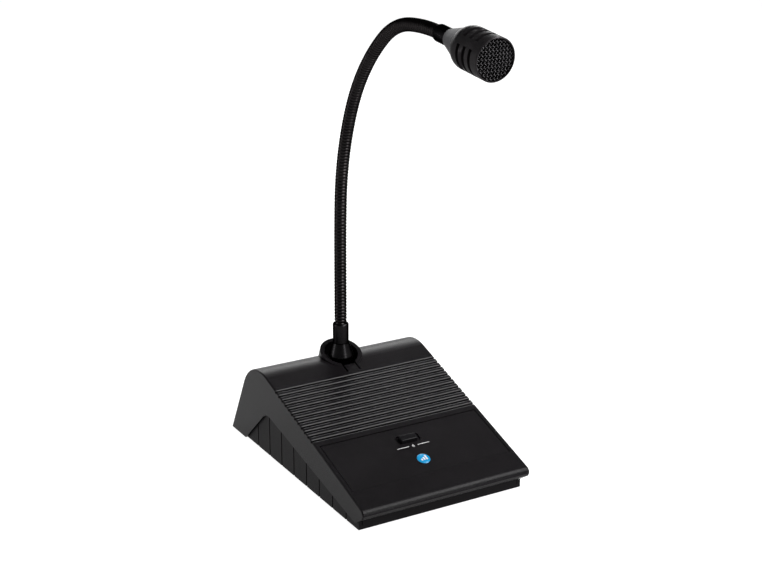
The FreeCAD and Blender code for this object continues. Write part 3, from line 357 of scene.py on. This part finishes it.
def make_finishes():
    """One finish for each of the record's material slots."""
    cover = moulded("cover_plastic", (0.0036, 0.0031, 0.0036), 0.33, specular=COVER_SPECULAR)
    return {
        "cover_plastic": glossy_lips(cover, COVER_SPECULAR, LIP_SPECULAR),
        "shell_plastic": moulded("shell_plastic", (0.0045, 0.0040, 0.0044), 0.46, specular=0.04),
        "fascia_plastic": moulded("fascia_plastic", (0.0038, 0.0033, 0.0038), 0.35, grain=3200.0,
                                  depth=0.03 * MM),
        "button_plastic": moulded("button_plastic", (0.0045, 0.0043, 0.0048), 0.26, grain=1800.0,
                                  depth=0.01 * MM),
        "badge_blue": enamel("badge_blue", (0.004, 0.165, 0.335), 0.25, coat=0.15, specular=0.3),
        "print_white": enamel("print_white", (0.44, 0.44, 0.44), 0.55),
        "pad_rubber": moulded("pad_rubber", (0.016, 0.016, 0.016), 0.75, grain=1200.0, depth=0.12 * MM),
        "zinc_steel": metal("zinc_steel", (0.56, 0.57, 0.58), 0.32),
        "board_green": enamel("board_green", (0.012, 0.11, 0.045), 0.35),
        "can_aluminium": metal("can_aluminium", (0.70, 0.71, 0.72), 0.30, stretch=(1.0, 1.0, 0.1)),
        "part_black": moulded("part_black", (0.014, 0.014, 0.014), 0.45, grain=2000.0),
        "header_white": moulded("header_white", (0.68, 0.66, 0.60), 0.5, grain=1500.0, depth=0.02 * MM),
        "core_iron": metal("core_iron", (0.16, 0.15, 0.14), 0.5, stretch=(0.1, 1.0, 1.0)),
        "lead_grey": moulded("lead_grey", (0.07, 0.07, 0.075), 0.55, grain=1400.0, depth=0.03 * MM),
        "contact_brass": metal("contact_brass", (0.72, 0.60, 0.36), 0.28),
        "jack_nickel": metal("jack_nickel", (0.66, 0.65, 0.63), 0.22, depth=0.006 * MM),
        "neck_black": enamel("neck_black", (0.0125, 0.0120, 0.0125), 0.30, metallic=1.0, edge=0.12),
        "tube_black": enamel("tube_black", (0.0140, 0.0128, 0.0130), 0.26, orange_peel=2400.0, metallic=1.0,
                             edge=0.12),
        "cone_grey": enamel("cone_grey", (0.034, 0.033, 0.035), 0.55, specular=0.04),
        "head_black": enamel("head_black", (0.0150, 0.0138, 0.0146), 0.36, orange_peel=3000.0,
                             depth=0.02 * MM, specular=0.12, metallic=0.6, edge=0.25),
        "grille_black": enamel("grille_black", (0.024, 0.023, 0.024), 0.26, metallic=1.0, edge=0.3),
        "foam_black": cloth("foam_black", (0.004, 0.004, 0.004), 1600.0),
        "screen_black": cloth("screen_black", (0.003, 0.003, 0.003), 2600.0),
        "capsule_metal": metal("capsule_metal", (0.50, 0.50, 0.51), 0.35, stretch=(0.1, 1.0, 1.0)),
        "magnet_metal": metal("magnet_metal", (0.42, 0.42, 0.44), 0.25),
        "spring_steel": metal("spring_steel", (0.50, 0.50, 0.52), 0.28),
    }


def paint(thing, material):
    thing.data.materials.clear()
    thing.data.materials.append(material)


def dress_cad_nodes(finishes):
    for part in frame["record"]["subparts"]:
        paint(frame["nodes"][part["node"]], finishes[part["material_slot"]])


# ---------------------------------------------------------------- meshes and pieces


def axes_at(origin, out, up):
    """A frame with its Z along out and its Y as near to up as that allows."""
    z = Vector(out).normalized()
    y = (Vector(up) - z * z.dot(Vector(up))).normalized()
    x = y.cross(z)
    turn = Matrix((x, y, z)).transposed().to_4x4()
    return Matrix.Translation(origin) @ turn


def put(mesh, matrix):
    mesh.transform(matrix)
    mesh.validate()
    return mesh


def mesh_from(name, points, faces):
    mesh = bpy.data.meshes.new(name)
    mesh.from_pydata(points, [], faces)
    return mesh


def piece_from(name, mesh, body, slot, finishes, smooth=True):
    """A visual piece in the row frame that rides on a body and takes a slot's finish."""
    thing = bpy.data.objects.new(name, mesh)
    bpy.context.scene.collection.objects.link(thing)
    for face in mesh.polygons:
        face.use_smooth = smooth
    paint(thing, finishes[slot])
    if body is not None:
        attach(thing, body)
    return thing


# ---------------------------------------------------------------- gooseneck

TUBE_RADIUS = 4.0 * MM
TUBE_SWELL = 0.35 * MM
SWELL_LENGTH = 2.0 * MM
RIB_PITCH = 2.3 * MM
RIB_HEIGHT = 0.62 * MM
RIB_STEPS = 12
RIB_SHARPNESS = 2.2
TUBE_SIDES = 56
SLEEVE_TUCK = 4.0 * MM
FERRULE_TUCK = 4.0 * MM
FERRULE_TO_SEAT = 46.0 * MM


class NeckPath:
    """The neck's centre line: arcs that meet without a kink, from the sleeve's mouth over the joints to the
    ferrule."""

    def __init__(self):
        hinges = [joint for joint in frame["joints"] if joint["name"].startswith("neck_")]
        seat_point, seat_axis = windscreen_seat()
        end = seat_point - seat_axis * FERRULE_TO_SEAT
        sleeve_low, sleeve_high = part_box("neck_sleeve")
        foot = Vector((0.0, (sleeve_low.y + sleeve_high.y) / 2, sleeve_high.z))
        self.knots = [foot] + [Vector(joint["pos_m"]) for joint in hinges] + [end]
        self.hinges = hinges
        self.spans = []
        heading = Vector((0, 0, 1))
        travelled = 0.0
        for start, stop in zip(self.knots, self.knots[1:]):
            chord = stop - start
            half_turn = heading.angle(chord)
            length = chord.length * (half_turn / math.sin(half_turn) if half_turn > 1e-6 else 1.0)
            bend = 2 * math.asin(max(-1.0, min(1.0, heading.cross(chord.normalized()).x)))
            self.spans.append((travelled, start, heading.copy(), length, bend))
            heading = (2 * heading.dot(chord.normalized()) * chord.normalized() - heading).normalized()
            travelled += length
        self.length = travelled

    def station(self, s):
        """Point and heading at that distance along the line; it runs on straight past both ends."""
        travelled, start, heading, length, bend = self.spans[0]
        for span in self.spans:
            if s >= span[0]:
                travelled, start, heading, length, bend = span
        along = s - travelled
        if s < 0.0 or abs(bend) < 1e-6:
            return start + heading * along, heading
        inside = min(along, length)
        turn = bend * inside / length
        here = Matrix.Rotation(turn, 3, "X") @ heading
        chord = Matrix.Rotation(turn / 2, 3, "X") @ heading
        reach = 2 * (length / bend) * math.sin(turn / 2)
        return start + chord * reach + here * (along - inside), here

    def joint_at(self, index):
        return self.spans[index][0]


def rib_profile(turns):
    """Depth of the helical groove, from 0 on a rib's crown to 1 in the groove."""
    phase = turns % 1.0
    return abs(2.0 * phase - 1.0) ** RIB_SHARPNESS


def tube_radius(path, s):
    """The tube is a little thicker in the open than in the mouths of the sleeve and the ferrule."""
    share = min(s, path.length - s) / SWELL_LENGTH - 0.25
    return TUBE_RADIUS + TUBE_SWELL * max(0.0, min(1.0, share))


def tube_mesh(name, path, low, high):
    """The ribbed tube from low to high along the neck's line, closed at both ends."""
    rows = max(2, round((high - low) / RIB_PITCH * RIB_STEPS))
    across = Vector((1, 0, 0))
    points = []
    for row in range(rows + 1):
        s = low + (high - low) * row / rows
        centre, heading = path.station(s)
        side = heading.cross(across)
        for column in range(TUBE_SIDES):
            share = column / TUBE_SIDES
            radius = tube_radius(path, s) - RIB_HEIGHT * rib_profile(s / RIB_PITCH + share)
            angle = 2 * math.pi * share
            points.append(centre + (across * math.cos(angle) + side * math.sin(angle)) * radius)
    faces = []
    for row in range(rows):
        for column in range(TUBE_SIDES):
            after = (column + 1) % TUBE_SIDES
            a, b = row * TUBE_SIDES + column, row * TUBE_SIDES + after
            faces.append((b, a, a + TUBE_SIDES, b + TUBE_SIDES))
    faces.append(tuple(range(TUBE_SIDES)))
    faces.append(tuple(reversed(range(rows * TUBE_SIDES, (rows + 1) * TUBE_SIDES))))
    mesh = mesh_from(name, points, faces)
    mesh.validate()
    return mesh


def make_tube(finishes):
    """One ribbed length over each neck joint, from the middle of one link to the middle of the next."""
    path = NeckPath()
    count = len(path.hinges)
    for index, hinge in enumerate(path.hinges):
        joint_s = path.joint_at(index + 1)
        first, last = index == 0, index == count - 1
        low = -SLEEVE_TUCK if first else (path.joint_at(index) + joint_s) / 2
        high = path.length + FERRULE_TUCK if last else (joint_s + path.joint_at(index + 2)) / 2
        mesh = tube_mesh(f"tube_{index + 1}", path, low, high)
        tube = piece_from(f"tube_{index + 1}", mesh, None, "tube_black", finishes)
        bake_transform(tube)
        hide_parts(f"gooseneck_link_{index + 1}", *(["gooseneck_root"] if first else []))


# ---------------------------------------------------------------- woven front grille

WIRE_PITCH = 1.7 * MM
WIRE_RADIUS = 0.38 * MM
GRILLE_RADIUS = 12.45 * MM
GRILLE_SINK = 1.35 * MM
GRILLE_DOME = 0.55 * MM
WIRE_STEP = 0.34 * MM
WIRE_SIDES = 7
SEAT_TO_FACE = 12.5 * MM


def wire(offset, phase, along_first):
    """One wire of the weave: it rises and dips over the wires that cross it, and follows the dome."""
    half = math.sqrt(max(GRILLE_RADIUS ** 2 - offset ** 2, 0.0))
    count = max(4, round(2 * half / WIRE_STEP))
    rings = []
    for k in range(count + 1):
        t = -half + 2 * half * k / count
        wave = math.sin(math.pi * t / WIRE_PITCH + math.pi * phase) * WIRE_RADIUS * 0.95
        dome = GRILLE_DOME * (1.0 - (t * t + offset * offset) / GRILLE_RADIUS ** 2)
        rings.append((t, dome + wave))
    points = []
    for t, height in rings:
        for side in range(WIRE_SIDES):
            angle = 2 * math.pi * side / WIRE_SIDES
            across = offset + math.cos(angle) * WIRE_RADIUS
            z = height + math.sin(angle) * WIRE_RADIUS
            points.append((t, across, z) if along_first else (across, t, z))
    return points, count


def tube_faces(start, count, sides):
    faces = []
    for row in range(count):
        for side in range(sides):
            after = (side + 1) % sides
            a, b = start + row * sides + side, start + row * sides + after
            faces.append((a, b, b + sides, a + sides))
    faces.append(tuple(start + side for side in reversed(range(sides))))
    faces.append(tuple(start + count * sides + side for side in range(sides)))
    return faces


def make_grille(finishes):
    """A plain weave of round wire, its wires at 45 degrees, in the mouth of the head."""
    seat_point, axis = windscreen_seat()
    face = seat_point + axis * SEAT_TO_FACE
    points, faces = [], []
    reach = int(GRILLE_RADIUS / WIRE_PITCH)
    for along_first in (True, False):
        for k in range(-reach, reach):
            phase = k if along_first else k + 1
            ring, count = wire((k + 0.5) * WIRE_PITCH, phase, along_first)
            faces += tube_faces(len(points), count, WIRE_SIDES)
            points += ring
    mesh = mesh_from("grille_weave", points, faces)
    diagonal = Vector((1, 0, 0)) + axis.cross(Vector((1, 0, 0)))
    put(mesh, axes_at(face - axis * GRILLE_SINK, axis, diagonal))
    weave = piece_from("grille_weave", mesh, "head", "grille_black", finishes)
    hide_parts("front_grille")


# ---------------------------------------------------------------- badge and sign


def slope_frame(node):
    """The middle of a thin plate that lies on the slope, and the way out of the slope there."""
    low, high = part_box(node)
    return (Vector(low) + Vector(high)) / 2, slope_normal()


BADGE_RADIUS = 4.5 * MM
BADGE_EDGE = 0.35 * MM
BADGE_DOME = 0.45 * MM
BAR_FOOT = -1.9 * MM
BAR_HALF = 0.55 * MM
BAR_PITCH = 1.75 * MM


def make_badge(finishes):
    """A glossy domed disc with three rising level bars."""
    middle, out = slope_frame("badge_disc")
    radius, edge, dome = BADGE_RADIUS, BADGE_EDGE, BADGE_DOME
    rings, sides = 9, 72
    points, faces = [(0.0, 0.0, edge + dome)], []
    for ring in range(1, rings + 1):
        r = radius * ring / rings
        for side in range(sides):
            angle = 2 * math.pi * side / sides
            z = edge + dome * (1.0 - (r / radius) ** 2)
            points.append((r * math.cos(angle), r * math.sin(angle), z))
    for side in range(sides):
        angle = 2 * math.pi * side / sides
        points.append((radius * math.cos(angle), radius * math.sin(angle), -edge))
    for side in range(sides):
        after = (side + 1) % sides
        faces.append((0, 1 + side, 1 + after))
        for ring in range(rings):
            a, b = 1 + ring * sides + side, 1 + ring * sides + after
            faces.append((a, a + sides, b + sides, b))
    faces.append(tuple(1 + rings * sides + side for side in reversed(range(sides))))
    place = axes_at(middle, out, (0, 1, 0))
    disc = put(mesh_from("badge_dome", points, faces), place)
    badge = piece_from("badge_dome", disc, "base", "badge_blue", finishes)
    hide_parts("badge_disc")

    points, faces = [], []
    for index, height in enumerate((1.5, 2.7, 3.9)):
        bar(points, faces, (index - 1) * BAR_PITCH, BAR_HALF, BAR_FOOT, BAR_FOOT + height * MM, edge + dome)
    bars = put(mesh_from("badge_bars", points, faces), place)
    piece_from("badge_bars", bars, "base", "print_white", finishes, smooth=False)


def bar(points, faces, x, half, low, high, top):
    """An upright box whose top follows the badge's dome closely enough to lie on it."""
    start = len(points)
    for z in (top - 0.30 * MM, top + 0.02 * MM):
        points += [(x - half, low, z), (x + half, low, z), (x + half, high, z), (x - half, high, z)]
    faces.append(tuple(start + k for k in (3, 2, 1, 0)))
    faces.append(tuple(start + k for k in (4, 5, 6, 7)))
    for k in range(4):
        after = (k + 1) % 4
        faces.append((start + k, start + after, start + 4 + after, start + 4 + k))


def stroke(points, faces, line, half, low, high):
    """A flat raised stroke along a polyline."""
    start = len(points)
    count = len(line)
    for k, (x, y) in enumerate(line):
        before, after = Vector(line[max(k - 1, 0)]), Vector(line[min(k + 1, count - 1)])
        way = (after - before).normalized()
        nx, ny = -way.y * half, way.x * half
        points += [(x + nx, y + ny, low), (x - nx, y - ny, low)]
        points += [(x - nx, y - ny, high), (x + nx, y + ny, high)]
    for k in range(count - 1):
        a = start + 4 * k
        for side in range(4):
            after = (side + 1) % 4
            faces.append((a + side, a + 4 + side, a + 4 + after, a + after))
    faces.append(tuple(start + side for side in range(4)))
    faces.append(tuple(start + 4 * (count - 1) + side for side in reversed(range(4))))


def arc_line(cx, cy, radius, first, last, steps=16):
    line = []
    for k in range(steps + 1):
        angle = math.radians(first + (last - first) * k / steps)
        line.append((cx + radius * math.cos(angle), cy + radius * math.sin(angle)))
    return line


def make_legend(finishes):
    """A plain microphone sign between two strokes, as a thin raised print under the key."""
    middle, out = slope_frame("button_legend")
    points, faces = [], []
    low, high = -0.03 * MM, 0.04 * MM
    thin = 0.13 * MM
    for side in (-1, 1):
        stroke(points, faces, [(side * 3.4 * MM, 0.0), (side * 12.2 * MM, 0.0)], 0.2 * MM, low, high)
    stroke(points, faces, [(0.0, -0.05 * MM), (0.0, 0.95 * MM)], 0.42 * MM, low, high)
    stroke(points, faces, arc_line(0.0, 0.15 * MM, 0.85 * MM, 180, 360), thin, low, high)
    stroke(points, faces, [(0.0, -0.70 * MM), (0.0, -1.15 * MM)], thin, low, high)
    stroke(points, faces, [(-0.55 * MM, -1.2 * MM), (0.55 * MM, -1.2 * MM)], thin, low, high)
    place = axes_at(middle, out, (0, 1, 0))
    sign = piece_from("legend_sign", put(mesh_from("legend_sign", points, faces), place), "base",
                      "print_white", finishes, smooth=False)
    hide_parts("button_legend")


# ---------------------------------------------------------------- build

make_camera()
make_lights()
make_floor()
finishes = make_finishes()
dress_cad_nodes(finishes)
make_tube(finishes)
make_grille(finishes)
make_badge(finishes)
make_legend(finishes)
